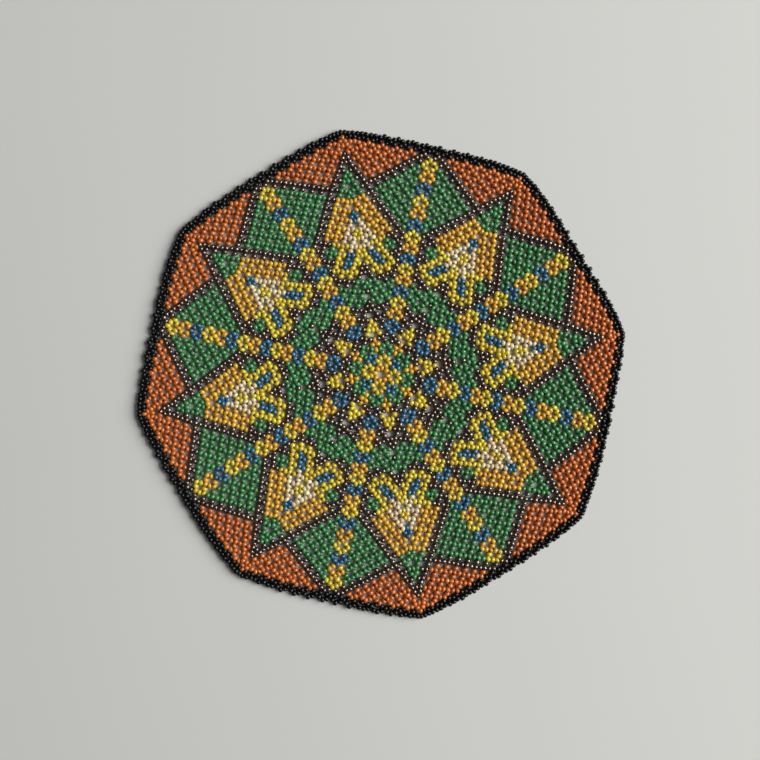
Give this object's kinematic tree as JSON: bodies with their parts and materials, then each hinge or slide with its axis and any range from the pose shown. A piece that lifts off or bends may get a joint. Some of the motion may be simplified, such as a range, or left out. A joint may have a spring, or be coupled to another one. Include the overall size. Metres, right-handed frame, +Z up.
{
  "type": "beaded mandala mat",
  "caption": "Flat octagonal mat netted from glass seed beads, with arrows, diamonds and chains of rings round a small open centre.",
  "frame": {"origin": "centre of the mat, on the underside that it rests on", "axes": "+Z up through the thickness of the net; +Y along the first spoke, through the middle of a side; +X along the third spoke"},
  "size_m": [0.18, 0.18, 0.0023],
  "materials": {
    "black_bead": "opaque black glass, glossy",
    "orange_bead": "opaque orange glass, glossy",
    "green_bead": "opaque mid green glass, glossy",
    "amber_bead": "opaque amber yellow glass, glossy",
    "yellow_bead": "opaque lemon yellow glass, glossy",
    "blue_bead": "opaque royal blue glass, glossy",
    "pearl_bead": "pearly white glass, glossy",
    "bronze_bead": "dark bronze brown glass with a metallic coat, glossy"
  },
  "bodies": {
    "root": {"arrow_body_1": "amber_bead", "arrow_body_2": "amber_bead", "arrow_body_3": "amber_bead", "arrow_body_4": "amber_bead", "arrow_body_5": "amber_bead", "arrow_body_6": "amber_bead", "arrow_body_7": "amber_bead", "arrow_body_8": "amber_bead", "arrow_outline_1": "bronze_bead", "arrow_outline_2": "bronze_bead", "arrow_outline_3": "bronze_bead", "arrow_outline_4": "bronze_bead", "arrow_outline_5": "bronze_bead", "arrow_outline_6": "bronze_bead", "arrow_outline_7": "bronze_bead", "arrow_outline_8": "bronze_bead", "arrow_points": "green_bead", "black_edging": "black_bead", "blue_feathers": "blue_bead", "brown_yoke": "bronze_bead", "centre_rosette": "yellow_bead", "diamond_outline_1": "bronze_bead", "diamond_outline_2": "bronze_bead", "diamond_outline_3": "bronze_bead", "diamond_outline_4": "bronze_bead", "diamond_outline_5": "bronze_bead", "diamond_outline_6": "bronze_bead", "diamond_outline_7": "bronze_bead", "diamond_outline_8": "bronze_bead", "green_band": "green_bead", "green_diamond_1": "green_bead", "green_diamond_2": "green_bead", "green_diamond_3": "green_bead", "green_diamond_4": "green_bead", "green_diamond_5": "green_bead", "green_diamond_6": "green_bead", "green_diamond_7": "green_bead", "green_diamond_8": "green_bead", "green_rings": "green_bead", "orange_corner_1": "orange_bead", "orange_corner_2": "orange_bead", "orange_corner_3": "orange_bead", "orange_corner_4": "orange_bead", "orange_corner_5": "orange_bead", "orange_corner_6": "orange_bead", "orange_corner_7": "orange_bead", "orange_corner_8": "orange_bead", "pearl_chevrons": "pearl_bead", "spoke_1": "amber_bead", "spoke_2": "amber_bead", "spoke_3": "amber_bead", "spoke_4": "amber_bead", "spoke_5": "amber_bead", "spoke_6": "amber_bead", "spoke_7": "amber_bead", "spoke_8": "amber_bead", "star_clusters": "yellow_bead", "star_field": "bronze_bead"}
  },
  "joints": []
}
